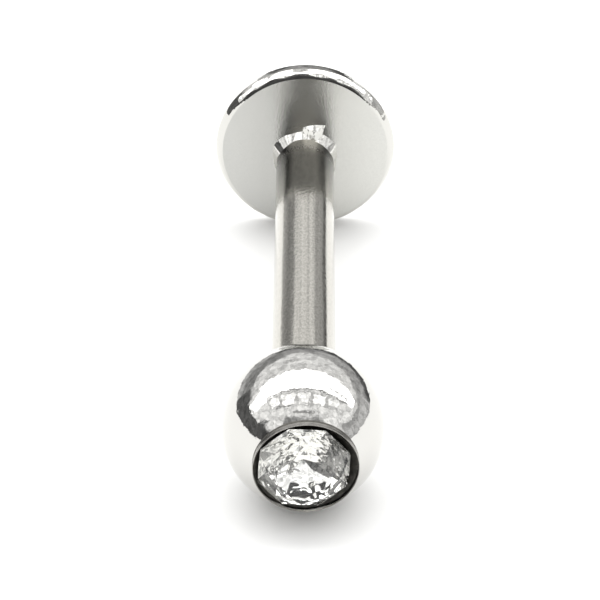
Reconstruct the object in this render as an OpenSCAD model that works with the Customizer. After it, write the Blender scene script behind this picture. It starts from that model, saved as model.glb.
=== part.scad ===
// Labret stud, lying on its ball and on the edge of its disc back.
// The stone faces -Y, the disc is at +Y and +Z is up. The origin is on the surface, under the middle.

/* [Post] */
// Diameter of the shank
shank_d = 1.6; // [1.2:0.1:1.8]
// Wearable length, from the disc's inner face to the mouth of the ball
wear_length = 11; // [6:0.5:16]
// Diameter of the disc back
disc_d = 5; // [4.4:0.1:6]
// Thickness of the disc back
disc_t = 0.7; // [0.5:0.05:1]
// Radius on the disc's outer edge
disc_round = 0.2; // [0.1:0.05:0.2]
// Distance of the disc's widest line from its inner face
disc_edge = 0.24; // [0.15:0.01:0.3]
// Width of the facet round the disc's inner face
facet_w = 0.12; // [0.06:0.01:0.16]
// Distance of the disc's middle above the shank's, which was welded on a little off centre
disc_offset = 0.3; // [0:0.05:0.4]
// Radius of the weld bead round the shank's foot
bead_r = 0.15; // [0.08:0.01:0.2]

/* [Thread] */
// Length of thread that goes into the ball
thread_length = 1.65; // [1.2:0.05:1.7]
// Distance from one thread crest to the next
thread_pitch = 0.35; // [0.3:0.05:0.4]
// Depth of the thread
thread_depth = 0.2; // [0.16:0.01:0.22]
// Gap all round between the thread's crests and the hole that it runs in
thread_gap = 0.03; // [0.01:0.01:0.05]

/* [Ball] */
// Diameter of the ball
ball_d = 4; // [4:0.1:5]
// Width of the chamfer at the mouth of the threaded hole
mouth_chamfer = 0.06; // [0.02:0.01:0.1]
// Outside diameter of the collar round the stone
collar_d = 2.55; // [2.4:0.05:2.7]
// Height of the collar where it leaves the ball
collar_h = 0.2; // [0.1:0.01:0.3]
// Thickness of the collar's wall
collar_wall = 0.04; // [0.04:0.01:0.08]
// Angle between the stone's hole and the threaded one, which were drilled a little out of line
seat_lean = 2.4; // [0:0.1:5]

/* [Stone] */
// Gap between the stone's girdle and the collar, at the girdle's corners
stone_gap = 0.08; // [0.03:0.01:0.1]
// Depth of the stone's girdle below the collar's edge
stone_depth = 0.05; // [0.05:0.01:0.2]
// Width of the table as a share of the stone's width
table_share = 0.6; // [0.5:0.01:0.64]
// Height of the crown as a share of the stone's width
crown_share = 0.15; // [0.12:0.01:0.18]
// Thickness of the girdle as a share of the stone's width
girdle_share = 0.03; // [0.02:0.01:0.05]
// Depth of the pavilion as a share of the stone's width
pavilion_share = 0.38; // [0.36:0.01:0.44]
// Roundness of the girdle between its corners, from 0 for eight straight sides to 1 for a circle
girdle_round = 0.2; // [0:0.1:1]
// Turn of the stone in its seat, in degrees
stone_turn = 27; // [0:0.5:45]

/* [Hidden] */

steel = "#c9c9c6";
crystal = "#eef2f4";

// Lengths along the stud are measured from the ball's centre, towards the disc.
shank_r = shank_d / 2;
disc_r = disc_d / 2;
ball_r = ball_d / 2;
bore_r = shank_r + thread_gap;
mouth_at = sqrt(ball_r * ball_r - bore_r * bore_r);
disc_at = mouth_at + wear_length;
thread_tip = mouth_at - thread_length;
tip_room = 0.06;

// The disc's edge: a facet next to the inner face, a rounded widest line, a slope back to the outer face.
face_r = disc_r - 0.19;
facet_tilt = 62.5;
edge_round = 0.04;
slope = 9;
slope_drop = (disc_t - disc_round - disc_edge) * tan(slope);

// The thread's crests clear the hole by thread_gap, as the shank does.
crest_r = shank_r;
root_r = crest_r - thread_depth;
root_flat = thread_pitch / 4;
tip_chamfer = thread_depth;
runout = thread_pitch / 2;
crests = floor((thread_length - runout - tip_chamfer) / thread_pitch);

// The stone's sizes follow the collar.
collar_r = collar_d / 2;
rim_at = sqrt(ball_r * ball_r - collar_r * collar_r) + collar_h;
seat_r = collar_r - collar_wall;
stone_r = seat_r - stone_gap;
stone_half_r = stone_r * (cos(22.5) + (1 - cos(22.5)) * girdle_round);
table_r = stone_r * table_share;
crown_h = 2 * stone_r * crown_share;
girdle_h = 2 * stone_r * girdle_share;
pavilion_h = 2 * stone_r * pavilion_share;
star_r = stone_r * 0.77;
lower_r = stone_r * 0.24;
cone_gap = 0.03;
girdle_at = rim_at - stone_depth;
table_at = girdle_at + crown_h;

// The stud leans back on the disc's widest line, which stands out further than the ball.
lean_run = disc_at + disc_edge;
lean_rise = disc_r - edge_round - disc_offset;
lean = atan2(lean_rise, lean_run) - asin((ball_r - edge_round) / norm([lean_run, lean_rise]));

// The origin is halfway between the front of the stone and the back of the disc.
facing = cos(lean) * cos(seat_lean);
stone_front = table_at * facing + table_r * sqrt(1 - facing * facing);
back_run = disc_at + disc_t - disc_round;
back_rise = disc_r - slope_drop - disc_round - disc_offset;
disc_back = back_run * cos(lean) + back_rise * sin(lean) + disc_round;
ball_y = (stone_front - disc_back) / 2;

fine = 96;

// Puts a piece drawn along +Z, from the ball's centre to the disc, where the stud lies.
module along_stud() {
    translate([0, ball_y, ball_r]) rotate([lean - 90, 0, 0]) children();
}

// The same for what belongs to the stone's hole.
module along_seat() {
    along_stud() rotate([0, -seat_lean, 0]) children();
}

// Half of the disc's cross-section, with its inner face at height 0.
module disc_section() {
    hull() {
        polygon([
            [0, 0], [face_r, 0],
            [face_r + facet_w * sin(facet_tilt), facet_w * cos(facet_tilt)],
            [0, disc_t]
        ]);
        translate([disc_r - edge_round, disc_edge]) circle(edge_round, $fn = fine);
        translate([disc_r - slope_drop - disc_round, disc_t - disc_round]) circle(disc_round, $fn = fine);
    }
}

// One crest of the thread, a sharp ring whose flanks run on a little way into the core.
module crest(at) {
    bite = 1.2;
    foot_r = crest_r - bite * thread_depth;
    foot = bite * (thread_pitch - root_flat) / 2;
    translate([0, 0, at + thread_pitch / 2]) rotate_extrude($fn = fine)
        polygon([[foot_r, -foot], [crest_r, 0], [foot_r, foot]]);
}

// The core runs a little way into the shank.
module thread() {
    first = thread_tip + tip_chamfer;
    core_end = mouth_at + thread_depth;
    rotate_extrude($fn = fine) polygon([
        [0, thread_tip], [root_r - tip_chamfer / 2, thread_tip], [root_r, first],
        [root_r, core_end], [0, core_end]
    ]);
    for (i = [0 : crests - 1]) crest(first + i * thread_pitch);
}

module post() {
    color(steel) along_stud() {
        translate([0, -disc_offset, disc_at]) rotate_extrude($fn = 2 * fine) disc_section();
        translate([0, 0, mouth_at]) cylinder(h = wear_length + disc_t / 2, r = shank_r, $fn = fine);
        translate([0, 0, disc_at]) rotate_extrude($fn = fine)
            translate([shank_r, -bead_r / 3]) circle(bead_r, $fn = fine);
        thread();
    }
}

// The hole that the thread runs in, with a drill point at its end and a chamfer at its mouth.
module threaded_hole() {
    floor_at = thread_tip - tip_room;
    point_at = floor_at - 0.2;
    chamfer_at = mouth_at - mouth_chamfer;
    rotate_extrude($fn = fine) polygon([
        [0, point_at], [0.1, point_at], [bore_r, floor_at], [bore_r, chamfer_at],
        [bore_r + 1, chamfer_at + 1], [0, chamfer_at + 1]
    ]);
}

// The stone's hole: a straight wall down past the girdle, and a cone under the pavilion.
module stone_seat() {
    cone_at = girdle_at - girdle_h;
    tip_at = cone_at - pavilion_h - cone_gap;
    rotate_extrude($fn = fine) polygon([
        [0, -ball_r - 1], [seat_r, -ball_r - 1], [seat_r, -cone_at],
        [stone_r, -cone_at], [0.05, -tip_at], [0, -tip_at]
    ]);
}

module ball() {
    color(steel) difference() {
        union() {
            along_stud() sphere(ball_r, $fn = fine);
            along_seat() translate([0, 0, -rim_at]) cylinder(h = rim_at, r = collar_r, $fn = fine);
        }
        along_stud() threaded_hole();
        along_seat() stone_seat();
    }
}

// Corners of one ring of the stone, on the mains' lines or halfway between them.
function ring(r, z, half = 0) = [for (k = [0 : 7]) let (a = 45 * (k + half)) [r * cos(a), r * sin(a), z]];

// Height of a crown main, and of a pavilion main, at radius r halfway between two mains' lines.
function crown_z(r) = crown_h * (stone_r - r * cos(22.5)) / (stone_r - table_r);
function pavilion_z(r) = -girdle_h - pavilion_h * (1 - r * cos(22.5) / stone_r);

// A round brilliant with its girdle's top edge at height 0 and its table up.
module brilliant() {
    points = concat(
        ring(table_r, crown_h), ring(star_r, crown_z(star_r), 0.5),
        ring(stone_r, 0), ring(stone_half_r, 0, 0.5),
        ring(stone_r, -girdle_h), ring(stone_half_r, -girdle_h, 0.5),
        ring(lower_r, pavilion_z(lower_r), 0.5), [[0, 0, -girdle_h - pavilion_h]]
    );
    table = 0;
    star = 8;
    top = 16;
    top_half = 24;
    low = 32;
    low_half = 40;
    lower = 48;
    culet = 56;
    around = [for (k = [0 : 7]) let (n = (k + 1) % 8, p = (k + 7) % 8) each [
        [table + k, table + n, star + k],
        [table + k, star + k, top + k, star + p],
        [star + k, top_half + k, top + k],
        [star + k, top + n, top_half + k],
        [top + k, top_half + k, low_half + k, low + k],
        [top_half + k, top + n, low + n, low_half + k],
        [low + k, low_half + k, lower + k],
        [low_half + k, low + n, lower + k],
        [low + k, lower + k, culet, lower + p]
    ]];
    polyhedron(points, concat([[for (k = [7 : -1 : 0]) table + k]], around));
}

module gem() {
    color(crystal) along_seat() translate([0, 0, -girdle_at]) rotate([180, 0, stone_turn]) brilliant();
}

post();
ball();
gem();
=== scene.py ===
from math import asin, atan2, cos, hypot, pi, radians, sin, sqrt, tan

import bpy
from mathutils import Matrix, Vector, noise


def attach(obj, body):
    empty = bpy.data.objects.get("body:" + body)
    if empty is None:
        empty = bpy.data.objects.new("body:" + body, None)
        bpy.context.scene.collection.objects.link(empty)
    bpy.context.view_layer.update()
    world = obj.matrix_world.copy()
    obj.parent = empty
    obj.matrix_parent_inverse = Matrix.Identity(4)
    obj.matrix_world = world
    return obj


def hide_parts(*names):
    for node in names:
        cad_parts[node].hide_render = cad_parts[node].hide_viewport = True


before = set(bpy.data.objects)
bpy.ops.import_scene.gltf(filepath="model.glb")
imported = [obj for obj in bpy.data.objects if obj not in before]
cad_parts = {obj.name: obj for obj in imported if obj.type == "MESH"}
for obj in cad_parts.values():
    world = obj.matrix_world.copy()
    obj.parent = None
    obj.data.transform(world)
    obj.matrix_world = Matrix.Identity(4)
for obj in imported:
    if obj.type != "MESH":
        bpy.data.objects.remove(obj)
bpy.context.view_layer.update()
scene = bpy.context.scene
mm = 0.001


# helpers

def colour(hexText):
    # a hex colour as linear red, green and blue, and alpha
    channels = [int(hexText[i:i + 2], 16) / 255 for i in (1, 3, 5)]
    return [c / 12.92 if c <= 0.04045 else ((c + 0.055) / 1.055) ** 2.4 for c in channels] + [1.0]


def node(tree, kind, settings=None):
    # settings: the node's own properties by name, and its inputs by number or name; an input takes a
    # value or another node's output. Map Range takes its value at 0, the range that goes in at 1 and 2
    # and the range that comes out at 3 and 4; Mix takes its factor at 0 and the two colours at 6 and 7
    made = tree.nodes.new(kind)
    for key, value in (settings or {}).items():
        if isinstance(key, str) and key in made.bl_rna.properties:
            setattr(made, key, value)
        elif isinstance(value, bpy.types.NodeSocket):
            tree.links.new(value, made.inputs[key])
        else:
            made.inputs[key].default_value = value
    return made


def newMaterial(name):
    material = bpy.data.materials.new(name)
    material.use_nodes = True
    material.node_tree.nodes.clear()
    return material, material.node_tree


def faceOutwards(mesh):
    # a closed mesh with a negative volume is inside out
    volume = 0.0
    for face in mesh.polygons:
        corners = [mesh.vertices[i].co for i in face.vertices]
        for b, c in zip(corners[1:], corners[2:]):
            volume += corners[0].dot(b.cross(c))
    if volume < 0:
        mesh.flip_normals()


def newPiece(name, verts, faces, materials, faceSlots=None, sharpAngle=None):
    mesh = bpy.data.meshes.new(name)
    mesh.from_pydata([tuple(c * mm for c in v) for v in verts], [], faces)
    for material in materials:
        mesh.materials.append(material)
    if faceSlots:
        mesh.polygons.foreach_set("material_index", faceSlots)
    mesh.polygons.foreach_set("use_smooth", [sharpAngle is not None] * len(mesh.polygons))
    mesh.update()
    faceOutwards(mesh)
    if sharpAngle is not None:
        mesh.set_sharp_from_angle(angle=radians(sharpAngle))
    piece = bpy.data.objects.new(name, mesh)
    scene.collection.objects.link(piece)
    return piece


def applyNodes(piece, tree, values):
    # runs a node tree on a piece and keeps the result as a plain mesh
    modifier = piece.modifiers.new("nodes", "NODES")
    modifier.node_group = tree
    for item in tree.interface.items_tree:
        if item.item_type == "SOCKET" and item.in_out == "INPUT" and item.name in values:
            modifier[item.identifier] = values[item.name]
    bpy.context.view_layer.update()
    made = bpy.data.meshes.new_from_object(piece.evaluated_get(bpy.context.evaluated_depsgraph_get()))
    piece.modifiers.remove(modifier)
    piece.data = made
    made.name = piece.name
    return made


def arc(cr, cz, radius, start, end, steps):
    # points of an arc in a profile, angles in degrees from +r towards +z
    return [(cr + radius * cos(radians(start + (end - start) * k / steps)),
             cz + radius * sin(radians(start + (end - start) * k / steps))) for k in range(steps + 1)]


def skin(rings, start, end):
    # quads between rings of equal length, closed at both ends by a fan to a point
    verts, faces = [], []
    n = len(rings[0])
    for ring in rings:
        verts += ring
    for k in range(len(rings) - 1):
        a, b = k * n, (k + 1) * n
        faces += [(a + i, a + (i + 1) % n, b + (i + 1) % n, b + i) for i in range(n)]
    verts += [start, end]
    last = (len(rings) - 1) * n
    faces += [(len(verts) - 2, (i + 1) % n, i) for i in range(n)]
    faces += [(len(verts) - 1, last + i, last + (i + 1) % n) for i in range(n)]
    return verts, faces


def clock(a):
    # degrees from the top of the stud, clockwise as the camera sees it
    return (a * 180 / pi + 90 + 180) % 360 - 180


def between(marks, x):
    # the value at x on a broken line through marks
    value = marks[0][1]
    for (x0, y0), (x1, y1) in zip(marks, marks[1:]):
        if x > x0:
            value = y0 + (y1 - y0) * min((x - x0) / (x1 - x0), 1)
    return value


def ease(value, low, high):
    # 0 up to low, 1 from high on, smooth between them
    t = min(max((value - low) / (high - low), 0), 1)
    return t * t * (3 - 2 * t)


def wander(angle, seed, spread):
    # a smooth wander of about -1 to 1 that closes on itself round a rim; more spread gives more waves
    swing = 1.9
    return swing * noise.noise(Vector((spread * cos(angle) + seed, spread * sin(angle), seed * 0.7)))


def setStops(ramp, marks):
    # gives a colour ramp a stop at each place, with its colour
    stops = ramp.color_ramp.elements
    while len(stops) < len(marks):
        stops.new(0.5)
    for stop, (place, tone) in zip(stops, marks):
        stop.position, stop.color = place, tone


# the stud's sizes, the same as in the part's source, in millimetres

stud = {
    "shankRadius": 0.8, "wearLength": 11.0, "discRadius": 2.5, "discThickness": 0.7, "discRound": 0.2,
    "discEdge": 0.24, "edgeRound": 0.04, "edgeSlope": 9.0, "discOffset": 0.3,
    "ballRadius": 2.0, "threadLength": 1.65, "threadPitch": 0.35, "threadDepth": 0.2, "threadGap": 0.03,
    "mouthChamfer": 0.06, "collarRadius": 1.275, "collarHeight": 0.2, "collarWall": 0.04, "seatLean": 2.4,
    "stoneGap": 0.08, "stoneDepth": 0.05, "tableShare": 0.6, "crownShare": 0.15, "girdleShare": 0.03,
    "pavilionShare": 0.38, "girdleRound": 0.2, "stoneTurn": 27.0,
}
ballRadius, shankRadius = stud["ballRadius"], stud["shankRadius"]
boreRadius = shankRadius + stud["threadGap"]
mouthAt = sqrt(ballRadius ** 2 - boreRadius ** 2)
discAt = mouthAt + stud["wearLength"]
threadTip = mouthAt - stud["threadLength"]
rootRadius = shankRadius - stud["threadDepth"]
rimAt = sqrt(ballRadius ** 2 - stud["collarRadius"] ** 2) + stud["collarHeight"]
seatRadius = stud["collarRadius"] - stud["collarWall"]
stoneRadius = seatRadius - stud["stoneGap"]
girdleAt = rimAt - stud["stoneDepth"]
crownHeight = 2 * stoneRadius * stud["crownShare"]
girdleHeight = 2 * stoneRadius * stud["girdleShare"]
pavilionHeight = 2 * stoneRadius * stud["pavilionShare"]
tableRadius = stoneRadius * stud["tableShare"]
# the stud leans back on the disc's widest line
leanRun, leanRise = discAt + stud["discEdge"], stud["discRadius"] - stud["edgeRound"] - stud["discOffset"]
lean = atan2(leanRise, leanRun) - asin((ballRadius - stud["edgeRound"]) / hypot(leanRun, leanRise))
# its middle, from the front of the stone to the back of the disc, is at y = 0
facing = cos(lean) * cos(radians(stud["seatLean"]))
stoneFront = (girdleAt + crownHeight) * facing + tableRadius * sqrt(1 - facing ** 2)
backRoundZ = stud["discThickness"] - stud["discRound"]
slopeDrop = (backRoundZ - stud["discEdge"]) * tan(radians(stud["edgeSlope"]))
backRoundR = stud["discRadius"] - slopeDrop - stud["discRound"]
discBack = (discAt + backRoundZ) * cos(lean) + (backRoundR - stud["discOffset"]) * sin(lean)
discBack += stud["discRound"]
ballY = (stoneFront - discBack) / 2
# frames with z from the ball's centre to the disc: of the shank, of the disc, and of the stone's hole
alongStud = Matrix.Translation((0, ballY, ballRadius)) @ Matrix.Rotation(lean - pi / 2, 4, "X")
alongDisc = alongStud @ Matrix.Translation((0, -stud["discOffset"], 0))
alongSeat = alongStud @ Matrix.Rotation(-radians(stud["seatLean"]), 4, "Y")


def ringAt(place, radius, height, segments):
    # one ring of points about a frame's z axis; radius and height may follow the angle
    ring = []
    for i in range(segments):
        a = 2 * pi * i / segments
        r = radius(a) if callable(radius) else radius
        z = height(a) if callable(height) else height
        ring.append(place @ Vector((r * cos(a), r * sin(a), z)))
    return ring


# camera, matched to the outlines of the ball, the collar and the disc

cameraFit = {
    "pictureWidth": 600,        # pixels, as are the next three
    "focalLength": 2783.8,
    "ballX": 303.19,
    "ballY": 426.30,
    "distance": 67.38,          # mm, along the view, to the ball's centre
    "pitch": 32.0,
    "yaw": 0.3,
    "sensorWidth": 36,          # mm
}


def makeCamera():
    fit, middle = cameraFit, cameraFit["pictureWidth"] / 2
    pitch, perPixel = radians(fit["pitch"]), fit["distance"] / fit["focalLength"]
    forward, right = Vector((0, cos(pitch), -sin(pitch))), Vector((1, 0, 0))
    up = right.cross(forward)
    place = up * (fit["ballY"] - middle) * perPixel - right * (fit["ballX"] - middle) * perPixel
    place -= forward * fit["distance"]
    turn = Matrix.Rotation(radians(fit["yaw"]), 3, "Z")
    place, right, up, forward = turn @ place, turn @ right, turn @ up, turn @ forward
    data = bpy.data.cameras.new("photoCamera")
    data.sensor_width = fit["sensorWidth"]
    data.lens = fit["sensorWidth"] * fit["focalLength"] / fit["pictureWidth"]
    data.clip_start, data.clip_end = 0.005, 10
    camera = bpy.data.objects.new("photoCamera", data)
    ball = Vector((0, ballY, ballRadius))
    axes = Matrix((right, up, -forward)).transposed().to_4x4()
    camera.matrix_world = Matrix.Translation((ball + place) * mm) @ axes
    scene.collection.objects.link(camera)
    scene.camera = camera


makeCamera()
print("camera placed")


# studio: a white paper floor under a pale ceiling with softboxes and a skylight, and dark things all round

studio = {
    "floorColour": "#f2f2f1",
    "floorHalf": 1.5,       # metres
    "strength": 1.0,
    "clutterScale": 11.0,
    "clutter": (0.65, 1.35),    # what the mottle multiplies the light by, at its darkest and brightest
    # elevation in degrees and brightness, all round
    "walls": [(0, 0.1), (6, 0.15), (10, 0.42), (20, 0.5), (24, 1.06), (36, 1.04), (38, 0.84), (40, 1.06),
              (45, 1.06), (47, 0.88), (49, 1.06), (54, 1.04), (55.5, 0.88), (57, 1.0), (90, 1.0)],
    # on a level ceiling at height 1: x from and to, y from and to, softness, brightness
    "ceiling": [
        (-3.2, 3.2, -1.05, 0.60, 0.06, 1.15),
        # two softboxes and the dark rail beside them
        (-1.3, 2.3, 0.00, 0.56, 0.05, 4.3),
        (-2.7, -0.8, -0.14, 0.34, 0.10, 4.0),
        (-1.1, 1.7, -0.07, -0.035, 0.012, 0.4),
        # the skylight's frame and its five panes
        (-1.06, 1.16, -0.5, -0.1, 0.02, 0.8),
        (-1.0, -0.62, -0.42, -0.15, 0.012, 1.7),
        (-0.54, -0.19, -0.46, -0.14, 0.012, 1.9),
        (-0.12, 0.16, -0.46, -0.14, 0.012, 1.6),
        (0.23, 0.6, -0.44, -0.14, 0.012, 1.9),
        (0.68, 1.1, -0.38, -0.14, 0.012, 1.7),
        # beams and stands
        (-0.9, -0.35, -0.52, -0.48, 0.02, 0.35),
        (-0.3, 0.3, -0.74, -0.66, 0.03, 0.5),
        (-2.6, -0.5, -1.06, -0.95, 0.05, 0.25),
        (0.62, 1.6, 0.1, 0.17, 0.04, 0.5),
    ],
    # degrees from +Y towards +X, elevation, softness, brightness
    "front": [
        (-125, -58, -2, 23, 5, 0.14),
        (-58, -13, 8, 25, 2, 0.34),
        (13, 58, 8, 25, 2, 0.5),
        (-58, -14, -2, 8, 2, 0.6),
        (58, 125, -2, 13, 5, 0.72),
    ],
    # the same from -Y
    "back": [
        (-60, 28, -2, 16, 4, 0.08),
        (-36, 34, 12, 46, 4, 0.36),
        (-58, -37, 18, 42, 4, 1.25),
        (36, 58, 2, 36, 4, 1.25),
    ],
}


def softPatch(tree, first, second, patch):
    # 1 inside a rectangle of two coordinates, 0 outside, with soft edges
    firstFrom, firstTo, secondFrom, secondTo, soft = patch
    inside = 1.0
    for value, start, end in ((first, firstFrom, firstTo), (second, secondFrom, secondTo)):
        rise = node(tree, "ShaderNodeMapRange", {
            "interpolation_type": "SMOOTHSTEP", 0: value, 1: start - soft, 2: start + soft}).outputs[0]
        drop = node(tree, "ShaderNodeMapRange", {
            "interpolation_type": "SMOOTHSTEP", 0: value, 1: end - soft, 2: end + soft,
            3: 1.0, 4: 0.0}).outputs[0]
        both = node(tree, "ShaderNodeMath", {"operation": "MULTIPLY", 0: rise, 1: drop}).outputs[0]
        inside = node(tree, "ShaderNodeMath", {"operation": "MULTIPLY", 0: both, 1: inside}).outputs[0]
    return inside


def makeWorld():
    world = bpy.data.worlds.new("studioLight")
    world.use_nodes = True
    tree = world.node_tree
    tree.nodes.clear()
    direction = node(tree, "ShaderNodeTexCoord").outputs["Generated"]
    x, y, z = node(tree, "ShaderNodeSeparateXYZ", {0: direction}).outputs
    rise = node(tree, "ShaderNodeMath", {"operation": "ARCSINE", 0: z}).outputs[0]
    elevation = node(tree, "ShaderNodeMath", {"operation": "DEGREES", 0: rise}).outputs[0]
    turn = node(tree, "ShaderNodeMath", {"operation": "ARCTAN2", 0: x, 1: y}).outputs[0]
    azimuth = node(tree, "ShaderNodeMath", {"operation": "DEGREES", 0: turn}).outputs[0]
    backwards = node(tree, "ShaderNodeMath", {"operation": "MULTIPLY", 0: y, 1: -1.0}).outputs[0]
    backTurn = node(tree, "ShaderNodeMath", {"operation": "ARCTAN2", 0: x, 1: backwards}).outputs[0]
    backAzimuth = node(tree, "ShaderNodeMath", {"operation": "DEGREES", 0: backTurn}).outputs[0]
    # where the direction meets the ceiling; the lowest height keeps the division finite near the floor
    height = node(tree, "ShaderNodeMath", {"operation": "MAXIMUM", 0: z, 1: 0.05}).outputs[0]
    across = node(tree, "ShaderNodeMath", {"operation": "DIVIDE", 0: x, 1: height}).outputs[0]
    along = node(tree, "ShaderNodeMath", {"operation": "DIVIDE", 0: y, 1: height}).outputs[0]
    share = node(tree, "ShaderNodeMath", {"operation": "DIVIDE", 0: elevation, 1: 90.0}).outputs[0]
    ramp = node(tree, "ShaderNodeValToRGB", {0: share})
    setStops(ramp, [(angle / 90, (level, level, level, 1)) for angle, level in studio["walls"]])
    light = ramp.outputs[0]
    for first, second, patches in ((azimuth, elevation, studio["front"]), (across, along, studio["ceiling"]),
                                   (backAzimuth, elevation, studio["back"])):
        for *bounds, level in patches:
            inside = softPatch(tree, first, second, bounds)
            light = node(tree, "ShaderNodeMix", {
                "data_type": "RGBA", 0: inside, 6: light, 7: (level, level, level, 1)}).outputs[2]
    # the room's clutter, as a mottle a few degrees across
    clutter = node(tree, "ShaderNodeTexNoise", {
        "Vector": direction, "Scale": studio["clutterScale"], "Detail": 4.0, "Roughness": 0.65}).outputs[0]
    dark, bright = studio["clutter"]
    mottle = node(tree, "ShaderNodeMapRange", {0: clutter, 1: 0.36, 2: 0.64, 3: dark, 4: bright}).outputs[0]
    light = node(tree, "ShaderNodeMix", {
        "data_type": "RGBA", "blend_type": "MULTIPLY", 0: 1.0, 6: light, 7: mottle}).outputs[2]
    # the camera itself sees plain white past the floor
    lit = node(tree, "ShaderNodeBackground", {"Color": light, "Strength": studio["strength"]}).outputs[0]
    plain = node(tree, "ShaderNodeBackground", {"Color": (1, 1, 1, 1)}).outputs[0]
    seen = node(tree, "ShaderNodeLightPath").outputs["Is Camera Ray"]
    mixed = node(tree, "ShaderNodeMixShader", {0: seen, 1: lit, 2: plain}).outputs[0]
    node(tree, "ShaderNodeOutputWorld", {"Surface": mixed})
    scene.world = world
    scene.view_settings.view_transform = "Standard"


def mattPaper():
    # uncoated white paper: even, no gloss, takes a soft shadow
    material, tree = newMaterial("mattPaper")
    shader = node(tree, "ShaderNodeBsdfPrincipled", {
        "Base Color": colour(studio["floorColour"]), "Roughness": 0.9, "Specular IOR Level": 0.2})
    node(tree, "ShaderNodeOutputMaterial", {"Surface": shader.outputs[0]})
    return material


def makeFloor():
    half = studio["floorHalf"] / mm
    corners = [(-half, -half, 0), (half, -half, 0), (half, half, 0), (-half, half, 0)]
    newPiece("floor", corners, [(0, 1, 2, 3)], [mattPaper()])


makeWorld()
makeFloor()
print("studio made")


# finishes of the steel

steel = {
    "polished": "#cdccc9",
    "buffed": "#cdccc8",
    "drawn": ("#b4b2ab", "#c8c5be"),        # the darkest and the palest of its grain
    # the satin's left colour is darker as painted shade
    "satin": ("#c1c1be", "#d2d2ce"),        # on the left and on the right
    "fleck": "#8c8b89",                     # in the satin's grains
    "burnished": ("#6f6d6a", "#a9a7a3"),
    # also used as painted shade in the crease at the collar's foot
    "drilled": ("#1b1a19", "#6a6862"),
    # painted shade on the shank's flanks next to the disc, with a little painted light along its middle:
    # distance from its middle plane as a share of its radius, and what the colour is multiplied by there
    "flankShade": [(0.0, 1.15), (0.36, 1.05), (0.56, 0.42), (0.68, 0.08), (0.9, 0.08), (1.0, 0.4)],
    "flankShadeHue": (1, 0.99, 0.97),
    "flankShadeReach": 4.0,                      # mm from the disc's inner face
    "dullReach": 1.3,
    "dullness": 0.25,                       # roughness that the heat adds next to the disc
}


def polishedSteel(name, tone):
    # surgical steel buffed to a mirror: sharp reflections whose edges waver a little, faint hairlines
    material, tree = newMaterial(name)
    place = node(tree, "ShaderNodeTexCoord").outputs["Object"]
    hairs = node(tree, "ShaderNodeTexNoise", {
        "Vector": place, "Scale": 2.2 / mm, "Detail": 3.0, "Roughness": 0.6}).outputs[0]
    rough = node(tree, "ShaderNodeMapRange", {0: hairs, 1: 0.35, 2: 0.75, 3: 0.02, 4: 0.07}).outputs[0]
    # buffing leaves waves of about 0.6 mm, and an orange peel of about 0.1 mm on top of them
    waves = node(tree, "ShaderNodeTexNoise", {"Vector": place, "Scale": 1.6 / mm, "Detail": 1.0}).outputs[0]
    waved = node(tree, "ShaderNodeBump", {
        "Strength": 0.22, "Distance": 0.03 * mm, "Height": waves}).outputs[0]
    peel = node(tree, "ShaderNodeTexNoise", {"Vector": place, "Scale": 9 / mm, "Detail": 1.0}).outputs[0]
    bump = node(tree, "ShaderNodeBump", {
        "Strength": 0.5, "Distance": 0.006 * mm, "Height": peel, "Normal": waved}).outputs[0]
    shader = node(tree, "ShaderNodeBsdfPrincipled", {
        "Base Color": colour(tone), "Metallic": 1.0, "Roughness": rough, "Normal": bump})
    node(tree, "ShaderNodeOutputMaterial", {"Surface": shader.outputs[0]})
    return material


def nearDiscFace(tree, place, reach):
    # 0 beyond the reach from the disc's inner face, rising to 1 beside it; sets where the weld's heat dulls
    # the shank and where its flanks get painted shade
    y = node(tree, "ShaderNodeSeparateXYZ", {0: place}).outputs[1]
    faceY, full = ballY + discAt * cos(lean), 0.1
    return node(tree, "ShaderNodeMapRange", {
        "interpolation_type": "SMOOTHSTEP", 0: y, 1: (faceY - reach) * mm, 2: (faceY - full) * mm}).outputs[0]


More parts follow.
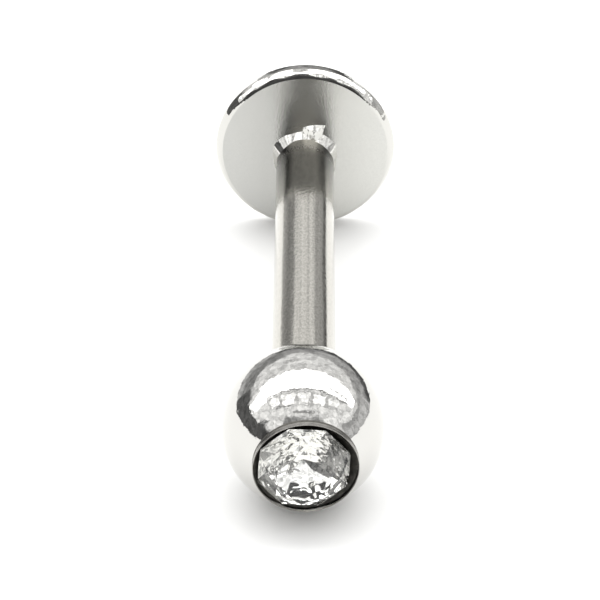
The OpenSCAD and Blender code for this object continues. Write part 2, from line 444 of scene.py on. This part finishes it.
def drawnSteel():
    # drawn wire, tumbled: short streaks along its length, a surface that isn't quite round, and painted
    # shade on both flanks by the weld
    material, tree = newMaterial("drawnSteel")
    place = node(tree, "ShaderNodeTexCoord").outputs["Object"]
    streaked = node(tree, "ShaderNodeMapping", {"Vector": place, "Scale": (1, 0.55, 1)}).outputs[0]
    streaks = node(tree, "ShaderNodeTexNoise", {
        "Vector": streaked, "Scale": 20 / mm, "Detail": 2.0, "Roughness": 0.6}).outputs[0]
    smooth = node(tree, "ShaderNodeMapRange", {0: streaks, 1: 0.3, 2: 0.7, 3: 0.08, 4: 0.16}).outputs[0]
    dulled = nearDiscFace(tree, place, steel["dullReach"])
    rough = node(tree, "ShaderNodeMath", {
        "operation": "MULTIPLY_ADD", 0: dulled, 1: steel["dullness"], 2: smooth}).outputs[0]
    stretched = node(tree, "ShaderNodeMapping", {"Vector": place, "Scale": (1, 0.15, 1)}).outputs[0]
    waves = node(tree, "ShaderNodeTexNoise", {
        "Vector": stretched, "Scale": 1.2 / mm, "Detail": 1.0}).outputs[0]
    waved = node(tree, "ShaderNodeBump", {"Strength": 0.7, "Distance": 0.05 * mm, "Height": waves}).outputs[0]
    bump = node(tree, "ShaderNodeBump", {
        "Strength": 0.5, "Distance": 0.005 * mm, "Height": streaks, "Normal": waved}).outputs[0]
    grain = node(tree, "ShaderNodeMapRange", {0: streaks, 1: 0.35, 2: 0.65}).outputs[0]
    dark, pale = steel["drawn"]
    clean = node(tree, "ShaderNodeMix", {
        "data_type": "RGBA", 0: grain, 6: colour(dark), 7: colour(pale)}).outputs[2]
    # painted shade along both flanks near the disc, with a little painted light along the middle
    shadeNear = nearDiscFace(tree, place, steel["flankShadeReach"])
    x = node(tree, "ShaderNodeSeparateXYZ", {0: place}).outputs[0]
    aside = node(tree, "ShaderNodeMath", {"operation": "ABSOLUTE", 0: x}).outputs[0]
    share = node(tree, "ShaderNodeMath", {"operation": "DIVIDE", 0: aside, 1: shankRadius * mm}).outputs[0]
    ramp = node(tree, "ShaderNodeValToRGB", {0: share})
    setStops(ramp, [(at, (*(tone * c for c in steel["flankShadeHue"]), 1)) for at, tone in steel["flankShade"]])
    # the base colour takes the painted shade of the flanks here
    tint = node(tree, "ShaderNodeMix", {
        "data_type": "RGBA", "blend_type": "MULTIPLY", 0: shadeNear, 6: clean, 7: ramp.outputs[0]}).outputs[2]
    shader = node(tree, "ShaderNodeBsdfPrincipled", {
        "Base Color": tint, "Metallic": 1.0, "Roughness": rough, "Normal": bump})
    node(tree, "ShaderNodeOutputMaterial", {"Surface": shader.outputs[0]})
    return material


def satinSteel():
    # blasted steel: grains of about 0.04 mm blur reflections into soft patches
    material, tree = newMaterial("blastedSatinSteel")
    place = node(tree, "ShaderNodeTexCoord").outputs["Object"]
    grain = node(tree, "ShaderNodeTexNoise", {
        "Vector": place, "Scale": 22 / mm, "Detail": 2.0, "Roughness": 0.7}).outputs[0]
    clouds = node(tree, "ShaderNodeTexNoise", {"Vector": place, "Scale": 0.9 / mm, "Detail": 2.0}).outputs[0]
    rough = node(tree, "ShaderNodeMapRange", {0: clouds, 1: 0.3, 2: 0.7, 3: 0.14, 4: 0.2}).outputs[0]
    bump = node(tree, "ShaderNodeBump", {"Strength": 0.5, "Distance": 0.004 * mm, "Height": grain}).outputs[0]
    # the left of the face is a little darker as painted shade, and the grains vary in brightness
    x = node(tree, "ShaderNodeSeparateXYZ", {0: place}).outputs[0]
    side = node(tree, "ShaderNodeMapRange", {
        "interpolation_type": "SMOOTHSTEP", 0: x, 1: -1.2 * mm, 2: 1.2 * mm}).outputs[0]
    left, right = steel["satin"]
    even = node(tree, "ShaderNodeMix", {
        "data_type": "RGBA", 0: side, 6: colour(left), 7: colour(right)}).outputs[2]
    fleck = node(tree, "ShaderNodeMapRange", {0: grain, 1: 0.3, 2: 0.7, 3: 0.0, 4: 0.14}).outputs[0]
    blasted = node(tree, "ShaderNodeMix", {
        "data_type": "RGBA", 0: fleck, 6: even, 7: colour(steel["fleck"])}).outputs[2]
    shader = node(tree, "ShaderNodeBsdfPrincipled", {
        "Base Color": blasted, "Metallic": 1.0, "Roughness": rough, "Normal": bump})
    node(tree, "ShaderNodeOutputMaterial", {"Surface": shader.outputs[0]})
    return material


def burnishedSteel():
    # the collar's edge, rolled over with a burnisher and not polished again: grey, half blurred
    material, tree = newMaterial("burnishedSteel")
    place = node(tree, "ShaderNodeTexCoord").outputs["Object"]
    marks = node(tree, "ShaderNodeTexNoise", {"Vector": place, "Scale": 7 / mm, "Detail": 2.0}).outputs[0]
    dark, pale = steel["burnished"]
    tint = node(tree, "ShaderNodeMix", {
        "data_type": "RGBA", 0: marks, 6: colour(dark), 7: colour(pale)}).outputs[2]
    shader = node(tree, "ShaderNodeBsdfPrincipled", {"Base Color": tint, "Metallic": 1.0, "Roughness": 0.22})
    node(tree, "ShaderNodeOutputMaterial", {"Surface": shader.outputs[0]})
    return material


def drilledSteel():
    # steel as the drill left it, dark with setting cement, in the seat and the tapped hole; the same dark
    # also stands as painted shade in the crease at the collar's foot
    material, tree = newMaterial("drilledSteel")
    place = node(tree, "ShaderNodeTexCoord").outputs["Object"]
    spots = node(tree, "ShaderNodeTexNoise", {"Vector": place, "Scale": 8 / mm, "Detail": 2.0}).outputs[0]
    dark, pale = steel["drilled"]
    tint = node(tree, "ShaderNodeMix", {
        "data_type": "RGBA", 0: spots, 6: colour(dark), 7: colour(pale)}).outputs[2]
    shader = node(tree, "ShaderNodeBsdfPrincipled", {"Base Color": tint, "Metallic": 0.6, "Roughness": 0.5})
    node(tree, "ShaderNodeOutputMaterial", {"Surface": shader.outputs[0]})
    return material


polished = polishedSteel("mirrorPolishedSteel", steel["polished"])
buffed = polishedSteel("buffedSteel", steel["buffed"])
drawn, satin, burnished, drilled = drawnSteel(), satinSteel(), burnishedSteel(), drilledSteel()
print("steel finishes made")


# disc back: flat blasted faces, a rounded rim, and a narrow facet buffed off round the inner face by hand

disc = {
    "segments": 540,
    "faceRadius": 2.31,
    # the facet's width by clock position on the visible half, in degrees from the top
    "facetWidths": [(-75, 0.1), (-46, 0.09), (-33, 0.095), (-23, 0.125), (-14, 0.1), (-6, 0.14), (2, 0.14),
                    (7, 0.06), (10, 0.06), (16, 0.12), (25, 0.075), (35, 0.095), (46, 0.075), (75, 0.09)],
    "facetWander": 0.014,       # how far the width strays from that
    "facetLeast": 0.04,
    # the waves that it strays in: weight, seed and spread
    "strays": [(0.6, 3.1, 2.6), (0.9, 8.4, 8.0), (0.5, 5.2, 22.0)],
    "facetTilt": (62, 55),      # degrees between the disc's axis and the facet, at its inner and outer edge
    "facetLift": 13,            # how many degrees flatter the facet lies at the top
    "shoulderTilt": (40, 18),   # as facetTilt, of the bend between the facet and the widest line
    "facetSteps": 4,
    "shoulderSteps": 10,
    "edgeSteps": 5,
    "roundSteps": 10,
    "backRings": (0.6, 1.2, 1.8, 2.1),
    "faceRings": (2.28, 1.8, 1.3, 0.9, 0.5),
}


def makeDisc():
    n, outer, thick = disc["segments"], stud["discRadius"], stud["discThickness"]
    edge, slope = stud["edgeRound"], stud["edgeSlope"]
    tiltIn, tiltOut = disc["facetTilt"]
    bowIn, bowOut = [radians(t) for t in disc["shoulderTilt"]]
    # where the shoulder meets the rounded widest line
    meetR = outer - edge * (1 - cos(bowOut))
    meetZ = stud["discEdge"] - edge * sin(bowOut)
    angles = [2 * pi * i / n for i in range(n)]
    columns = []
    for a in angles:
        stray = sum(weight * wander(a, seed, spread) for weight, seed, spread in disc["strays"])
        width = max(between(disc["facetWidths"], clock(a)) + disc["facetWander"] * stray, disc["facetLeast"])
        lift = disc["facetLift"] * max(0.0, -sin(a)) ** 2
        # the facet, from the face outwards
        facet, steps = [(disc["faceRadius"], 0.0)], disc["facetSteps"]
        for k in range(steps):
            tilt = radians(tiltIn + (tiltOut - tiltIn) * (k + 0.5) / steps + lift)
            lastR, lastZ = facet[-1]
            facet.append((lastR + width / steps * sin(tilt), lastZ + width / steps * cos(tilt)))
        endR, endZ = facet[-1]
        # the shoulder is a curve that bends from one tilt to the other round one point
        spanR, spanZ = meetR - endR, meetZ - endZ
        reach = (spanR * cos(bowOut) - spanZ * sin(bowOut)) / sin(bowIn - bowOut)
        reach = min(max(reach, 0.15 * spanZ), 0.85 * spanZ)     # so the point stays between the two ends
        bendR, bendZ = endR + reach * sin(bowIn), endZ + reach * cos(bowIn)
        shoulder = []
        for k in range(1, disc["shoulderSteps"] + 1):
            t = k / disc["shoulderSteps"]
            shoulder.append(((1 - t) ** 2 * endR + 2 * t * (1 - t) * bendR + t * t * meetR,
                             (1 - t) ** 2 * endZ + 2 * t * (1 - t) * bendZ + t * t * meetZ))
        rim = arc(outer - edge, stud["discEdge"], edge, -disc["shoulderTilt"][1], slope, disc["edgeSteps"])
        rim = rim[1:] + arc(backRoundR, backRoundZ, stud["discRound"], slope, 90, disc["roundSteps"])
        columns.append((facet + shoulder + rim)[::-1])
    rings = [ringAt(alongDisc, r, discAt + thick, n) for r in disc["backRings"]]
    backRings = len(rings)
    for row in zip(*columns):
        rings.append([alongDisc @ Vector((r * cos(a), r * sin(a), discAt + z))
                      for a, (r, z) in zip(angles, row)])
    rimRings = len(rings)
    rings += [ringAt(alongDisc, r, discAt, n) for r in disc["faceRings"]]
    verts, faces = skin(rings, alongDisc @ Vector((0, 0, discAt + thick)), alongDisc @ Vector((0, 0, discAt)))
    # the rim is buffed, and both faces are satin
    slots = [0] * len(faces)
    for k in range(len(rings) - 1):
        if k < backRings or k >= rimRings - 1:
            slots[k * n:(k + 1) * n] = [1] * n
    slots[-2 * n:] = [1] * (2 * n)
    return newPiece("discBack", verts, faces, [buffed, satin], slots, sharpAngle=12)


# shank, with the core that the thread is cut on

shank = {
    "segments": 192,
    "rings": 24,
    "edge": 0.05,               # radius of its edge against the ball
    "edgeSteps": 6,
    "buried": 0.1,              # how far it runs on into the disc
    "coreCorner": 0.03,
    "tipLength": 0.16,          # of the taper at the core's end
    "tipDepth": 0.1,
}


def makeShank():
    n, edge, corner, r = shank["segments"], shank["edge"], shank["coreCorner"], shankRadius
    start, length = discAt + shank["buried"], stud["wearLength"] + shank["buried"] - edge
    profile = [(r, start - k * length / shank["rings"]) for k in range(shank["rings"])]
    profile += arc(r - edge, mouthAt + edge, edge, 0, -90, shank["edgeSteps"])
    profile += [(rootRadius + corner, mouthAt), (rootRadius, mouthAt - corner),
                (rootRadius, threadTip + shank["tipLength"]), (rootRadius - shank["tipDepth"], threadTip)]
    rings = [ringAt(alongStud, radius, z, n) for radius, z in profile]
    verts, faces = skin(rings, alongStud @ Vector((0, 0, start)), alongStud @ Vector((0, 0, threadTip)))
    return newPiece("shank", verts, faces, [drawn], sharpAngle=30)


# thread: a three-sided ridge swept along a helix

thread = {
    "start": 0.3,               # mm from the ball's centre, as is its end
    "end": 1.66,
    "ridge": 0.155,             # radius of the ridge's section
    "stepsPerTurn": 72,
}


def threadTree():
    tree = bpy.data.node_groups.new("cutThread", "GeometryNodeTree")
    sockets = (("Geometry", "Geometry"), ("Turns", "Float"), ("Height", "Float"), ("Crest Radius", "Float"),
               ("Ridge", "Float"), ("Steps Per Turn", "Int"), ("Material", "Material"))
    for name, kind in sockets:
        tree.interface.new_socket(name, in_out="INPUT", socket_type="NodeSocket" + kind)
    tree.interface.new_socket("Geometry", in_out="OUTPUT", socket_type="NodeSocketGeometry")
    given = node(tree, "NodeGroupInput").outputs
    radius = node(tree, "ShaderNodeMath", {
        "operation": "SUBTRACT", 0: given["Crest Radius"], 1: given["Ridge"]}).outputs[0]
    helix = node(tree, "GeometryNodeCurveSpiral", {
        "Resolution": given["Steps Per Turn"], "Rotations": given["Turns"], "Start Radius": radius,
        "End Radius": radius, "Height": given["Height"]})
    upright = node(tree, "GeometryNodeSetCurveNormal", {"mode": "Z_UP", "Curve": helix.outputs[0]})
    ridge = node(tree, "GeometryNodeCurvePrimitiveCircle", {"Resolution": 3, "Radius": given["Ridge"]})
    # the ridge fades out over the first and last tenth
    share = node(tree, "GeometryNodeSplineParameter").outputs["Factor"]
    rest = node(tree, "ShaderNodeMath", {"operation": "SUBTRACT", 0: 1.0, 1: share}).outputs[0]
    nearest = node(tree, "ShaderNodeMath", {"operation": "MINIMUM", 0: share, 1: rest}).outputs[0]
    fade = node(tree, "ShaderNodeMapRange", {0: nearest, 1: 0.0, 2: 0.1, 3: 0.4, 4: 1.0}).outputs[0]
    swept = node(tree, "GeometryNodeCurveToMesh", {
        "Curve": upright.outputs[0], "Profile Curve": ridge.outputs[0], "Scale": fade, "Fill Caps": True})
    real = node(tree, "GeometryNodeRealizeInstances", {"Geometry": swept.outputs[0]})
    painted = node(tree, "GeometryNodeSetMaterial", {
        "Geometry": real.outputs[0], "Material": given["Material"]})
    node(tree, "NodeGroupOutput", {"Geometry": painted.outputs[0]})
    return tree


def makeThread():
    piece = newPiece("thread", [(0, 0, 0)], [], [])
    length = thread["end"] - thread["start"]
    mesh = applyNodes(piece, threadTree(), {
        "Turns": length / stud["threadPitch"], "Height": length * mm, "Crest Radius": shankRadius * mm,
        "Ridge": thread["ridge"] * mm, "Steps Per Turn": thread["stepsPerTurn"], "Material": drawn})
    toStart = Matrix.Scale(mm, 4) @ alongStud @ Matrix.Translation((0, 0, thread["start"]))
    mesh.transform(toStart @ Matrix.Scale(1 / mm, 4))
    faceOutwards(mesh)
    return piece


# weld bead: metal that ran out round the shank's foot, lowest underneath, with a lump on one side

bead = {
    "segments": 360,
    "steps": 30,
    "length": 0.42,             # mm along the shank
    "start": 0.02,              # how far inside the disc it starts
    "top": 0.14,                # how far it stands off the shank at the top
    "shoulders": 0.2,           # how far it does on both sides of that
    "shouldersFrom": (12, 45),  # degrees from the top over which it rises
    "drop": 0.13,               # how much lower it is beyond the shoulders
    "dropFrom": (58, 95),
    "slope": 39,                # degrees between its surface and the shank
    "strays": [(1, 1.7, 0, 2.2), (0.6, 6.1, 2, 6.0)],   # weight, seed, seed per mm along it, spread
    "uneven": 0.012,
    "buried": 0.012,            # how far inside the shank it ends
    # the lump by clock position, in degrees from the top: its two ends, how far it stands from the
    # shank's middle line there, and how far along the shank it reaches
    "lump": (-3.0, 26.0),
    "lumpRadius": (1.08, 1.27),
    "lumpLength": [(-3, 0.02), (4, 0.09), (18, 0.2), (26, 0.12)],
    "lumpEnd": 20,              # mm that it falls per mm past that reach
    "lumpSides": 0.09,          # mm that it falls per degree past its ends
}


def makeBead():
    n, steps, fall = bead["segments"], bead["steps"], tan(radians(bead["slope"]))

    def beadAt(a, z):
        side = abs(clock(a))
        swell = bead["top"] + (bead["shoulders"] - bead["top"]) * ease(side, *bead["shouldersFrom"])
        swell -= bead["drop"] * ease(side, *bead["dropFrom"])
        stray = sum(weight * wander(a, seed + drift * z, spread)
                    for weight, seed, drift, spread in bead["strays"])
        return shankRadius + swell + bead["uneven"] * stray - z * fall

    def lumpAt(a, z):
        angle, (low, high), (lowR, highR) = clock(a), bead["lump"], bead["lumpRadius"]
        share = min(max((angle - low) / (high - low), 0), 1)
        reach = between(bead["lumpLength"], angle)
        r = lowR + (highR - lowR) * share - z * fall
        past = max(low - angle, 0) + max(angle - high, 0)
        return r - bead["lumpEnd"] * max(z - reach, 0) - bead["lumpSides"] * past

    def surfaceAt(a, z):
        return max(beadAt(a, z), lumpAt(a, z), shankRadius - bead["buried"])

    rings = []
    for k in range(steps + 1):
        z = k / steps * bead["length"] - bead["start"]
        rings.append(ringAt(alongStud, lambda a: surfaceAt(a, z), discAt - z, n))
    start = discAt + bead["start"]
    end = start - bead["length"]
    verts, faces = skin(rings, alongStud @ Vector((0, 0, start)), alongStud @ Vector((0, 0, end)))
    return newPiece("weldBead", verts, faces, [buffed], sharpAngle=32)


discPiece, shankPiece, threadPiece, beadPiece = makeDisc(), makeShank(), makeThread(), makeBead()
for piece in (discPiece, shankPiece, threadPiece, beadPiece):
    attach(piece, "post_body")
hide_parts("post")
print("post made")


# ball: a polished shell with a thin collar round the stone's seat, and the tapped hole at the back

ballShape = {
    "segments": 288,
    "rings": 150,
    "lipWidth": 0.02,           # of the collar's edge
    "lipRound": 0.008,
    "lipSteps": (4, 5),         # on its inner and its outer corner
    "collarShares": (0.3, 0.62, 1.0),   # where the collar's outside has rings, from its edge to its foot
    "seatTip": 0.05,            # radius of the seat's end
    "seatRoom": 0.08,           # under the stone's point
    "ledge": 0.01,              # between the seat's cone and its wall
    "wallStep": 0.02,           # how far up the wall its first ring is
    "grooveDepth": 0.05,
    "grooveRings": 64,
    "tipRoom": 0.06,            # past the post's end
    "drillRadius": 0.1,         # of the flat end of the drill's point
    "drillDepth": 0.2,
}


def makeBall():
    shape, n, collar = ballShape, ballShape["segments"], stud["collarRadius"]
    lip, lipStart = shape["lipRound"], collar - shape["lipWidth"]
    coneAt = girdleAt - girdleHeight
    tipAt = coneAt - pavilionHeight - shape["seatRoom"]
    # the seat from its tip outwards, then the collar; heights run towards the disc
    profile = [(shape["seatTip"], -tipAt), (seatRadius - shape["ledge"], -coneAt), (seatRadius, -coneAt),
               (seatRadius, -coneAt - shape["wallStep"])]
    seatRings = 2
    profile += arc(lipStart + lip, -rimAt + lip, lip, 200, 270, shape["lipSteps"][0])
    profile += arc(collar - lip, -rimAt + lip, lip, 270, 360, shape["lipSteps"][1])
    footZ = -sqrt(ballRadius ** 2 - collar ** 2)
    profile += [(collar, -rimAt + (rimAt + footZ) * share) for share in shape["collarShares"]]
    collarEnd = len(profile)
    rings = [ringAt(alongSeat, r, z, n) for r, z in profile]
    # the shell's rings turn from the seat's axis to the thread's, and end where the mouth's chamfer cuts it
    first = asin(collar / ballRadius)
    top, bottom = mouthAt - stud["mouthChamfer"], threadTip - shape["tipRoom"]
    reach = boreRadius - top
    mouthZ = (-reach + sqrt(2 * ballRadius ** 2 - reach ** 2)) / 2
    last = pi - asin((mouthZ + reach) / ballRadius)
    for k in range(1, shape["rings"] + 1):
        t = k / shape["rings"]
        polar = first + (last - first) * t
        place = alongStud @ Matrix.Rotation(-radians(stud["seatLean"]) * (1 - t), 4, "Y")
        rings.append(ringAt(place, ballRadius * sin(polar), -ballRadius * cos(polar), n))
    shellEnd = len(rings)

    def groovedAt(a, z, fade):
        # shallow helical grooves in the tapped hole's wall, which fade out at both ends
        turn = ((z - bottom) / stud["threadPitch"] - a / (2 * pi)) % 1.0
        return boreRadius + shape["grooveDepth"] * fade * (1 - abs(2 * turn - 1))

    for k in range(shape["grooveRings"] + 1):
        t = k / shape["grooveRings"]
        z, fade = top + (bottom - top) * t, min(1.0, 10 * t, 10 * (1 - t))
        rings.append(ringAt(alongStud, lambda a: groovedAt(a, z, fade), z, n))
    drillEnd = bottom - shape["drillDepth"]
    rings.append(ringAt(alongStud, shape["drillRadius"], drillEnd, n))
    verts, faces = skin(rings, alongSeat @ Vector((0, 0, -tipAt)), alongStud @ Vector((0, 0, drillEnd)))
    slots = [0] * len(faces)
    slots[:seatRings * n] = [1] * (seatRings * n)
    # the rolled edge, then the corner at the collar's foot, given the dark drilled steel as painted shade in
    # the crease
    slots[seatRings * n:(collarEnd - 2) * n] = [2] * ((collarEnd - 2 - seatRings) * n)
    slots[(collarEnd - 2) * n:(collarEnd - 1) * n] = [1] * n
    slots[shellEnd * n:] = [1] * (len(faces) - shellEnd * n)
    return newPiece("ballShell", verts, faces, [polished, drilled, burnished], slots, sharpAngle=35)


ballPiece = makeBall()
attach(ballPiece, "ball_body")
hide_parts("ball")
print("ball made")


# stone: a round brilliant, an eighth of whose cut is repeated round the axis

stone = {
    "sides": 8,
    "starShare": 0.77,          # radius of the stars' outer corners as a share of the stone's
    "lowerShare": 0.24,         # the same of the lower girdle facets' inner corners
    "crystalTone": "#fbfcfc",
    "crystalIor": 1.56,
    "foilTone": "#f3f2ef",
    "foilRoughness": 0.07,
    "foilWaves": 2.6,           # noise scale per mm
    "foilDepth": 0.035,         # mm
    "leftBy": 0.045,            # mm from the middle of its seat
    "lowBy": 0.02,
}


def leadCrystal():
    # cut and polished lead crystal: clear, glittering
    material, tree = newMaterial("cutLeadCrystal")
    shader = node(tree, "ShaderNodeBsdfPrincipled", {
        "Base Color": colour(stone["crystalTone"]), "Roughness": 0.0, "IOR": stone["crystalIor"],
        "Transmission Weight": 1.0})
    node(tree, "ShaderNodeOutputMaterial", {"Surface": shader.outputs[0]})
    return material


def silverFoil():
    # silvered back, a little wavy, which throws the light out again through the table
    material, tree = newMaterial("silverFoilBack")
    place = node(tree, "ShaderNodeTexCoord").outputs["Object"]
    waves = node(tree, "ShaderNodeTexNoise", {
        "Vector": place, "Scale": stone["foilWaves"] / mm, "Detail": 1.0}).outputs[0]
    bump = node(tree, "ShaderNodeBump", {
        "Strength": 1.0, "Distance": stone["foilDepth"] * mm, "Height": waves}).outputs[0]
    shader = node(tree, "ShaderNodeBsdfPrincipled", {
        "Base Color": colour(stone["foilTone"]), "Metallic": 1.0, "Roughness": stone["foilRoughness"],
        "Normal": bump})
    node(tree, "ShaderNodeOutputMaterial", {"Surface": shader.outputs[0]})
    return material


def cutTree():
    tree = bpy.data.node_groups.new("roundCut", "GeometryNodeTree")
    sockets = (("Geometry", "Geometry"), ("Sides", "Int"), ("Crystal", "Material"), ("Foil", "Material"))
    for name, kind in sockets:
        tree.interface.new_socket(name, in_out="INPUT", socket_type="NodeSocket" + kind)
    tree.interface.new_socket("Geometry", in_out="OUTPUT", socket_type="NodeSocketGeometry")
    given = node(tree, "NodeGroupInput").outputs
    eighth = node(tree, "GeometryNodeGeometryToInstance", {0: given["Geometry"]})
    copies = node(tree, "GeometryNodeDuplicateElements", {
        "domain": "INSTANCE", "Geometry": eighth.outputs[0], "Amount": given["Sides"]}).outputs
    step = node(tree, "ShaderNodeMath", {"operation": "DIVIDE", 0: 2 * pi, 1: given["Sides"]}).outputs[0]
    angle = node(tree, "ShaderNodeMath", {
        "operation": "MULTIPLY", 0: copies["Duplicate Index"], 1: step}).outputs[0]
    turn = node(tree, "ShaderNodeCombineXYZ", {2: angle}).outputs[0]
    turned = node(tree, "GeometryNodeRotateInstances", {
        "Instances": copies[0], "Rotation": turn, "Local Space": False})
    real = node(tree, "GeometryNodeRealizeInstances", {"Geometry": turned.outputs[0]})
    joined = node(tree, "GeometryNodeMergeByDistance", {"Geometry": real.outputs[0], "Distance": 0.002 * mm})
    backed = node(tree, "GeometryNodeInputNamedAttribute", {"data_type": "BOOLEAN", "Name": "backed"})
    clear = node(tree, "GeometryNodeSetMaterial", {
        "Geometry": joined.outputs[0], "Material": given["Crystal"]})
    silvered = node(tree, "GeometryNodeSetMaterial", {
        "Geometry": clear.outputs[0], "Selection": backed.outputs[0], "Material": given["Foil"]})
    node(tree, "NodeGroupOutput", {"Geometry": silvered.outputs[0]})
    return tree


def makeStone():
    half = cos(pi / 8)

    def spoke(r, z, share):
        return (r * cos(share * pi / 4), r * sin(share * pi / 4), z)

    def crownZ(r):
        return crownHeight * (stoneRadius - r * half) / (stoneRadius - tableRadius)

    def pavilionZ(r):
        return -girdleHeight - pavilionHeight * (1 - r * half / stoneRadius)

    halfRadius = stoneRadius * (half + (1 - half) * stud["girdleRound"])
    star, lower = stoneRadius * stone["starShare"], stoneRadius * stone["lowerShare"]
    # one eighth, from one main's middle line to the next
    verts = [(0, 0, crownHeight), spoke(tableRadius, crownHeight, 0), spoke(tableRadius, crownHeight, 1),
             spoke(star, crownZ(star), 0.5), spoke(stoneRadius, 0, 0), spoke(halfRadius, 0, 0.5),
             spoke(stoneRadius, 0, 1), spoke(stoneRadius, -girdleHeight, 0),
             spoke(halfRadius, -girdleHeight, 0.5), spoke(stoneRadius, -girdleHeight, 1),
             spoke(lower, pavilionZ(lower), 0.5), (0, 0, -girdleHeight - pavilionHeight)]
    crown = [(0, 1, 2), (1, 3, 2), (1, 4, 3), (2, 3, 6), (4, 5, 3), (5, 6, 3), (4, 7, 8, 5), (5, 8, 9, 6)]
    pavilion = [(7, 10, 8), (8, 10, 9), (7, 11, 10), (9, 10, 11)]
    piece = newPiece("stone", verts, crown + pavilion, [])
    backed = piece.data.attributes.new("backed", "BOOLEAN", "FACE")
    backed.data.foreach_set("value", [False] * len(crown) + [True] * len(pavilion))
    mesh = applyNodes(piece, cutTree(), {
        "Sides": stone["sides"], "Crystal": leadCrystal(), "Foil": silverFoil()})
    place = alongSeat @ Matrix.Translation((-stone["leftBy"], stone["lowBy"], -girdleAt))
    place = place @ Matrix.Rotation(radians(stud["stoneTurn"]), 4, "Z") @ Matrix.Rotation(pi, 4, "X")
    mesh.transform(Matrix.Scale(mm, 4) @ place @ Matrix.Scale(1 / mm, 4))
    faceOutwards(mesh)
    return piece


stonePiece = makeStone()
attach(stonePiece, "ball_body")
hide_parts("gem")
print("stone made")
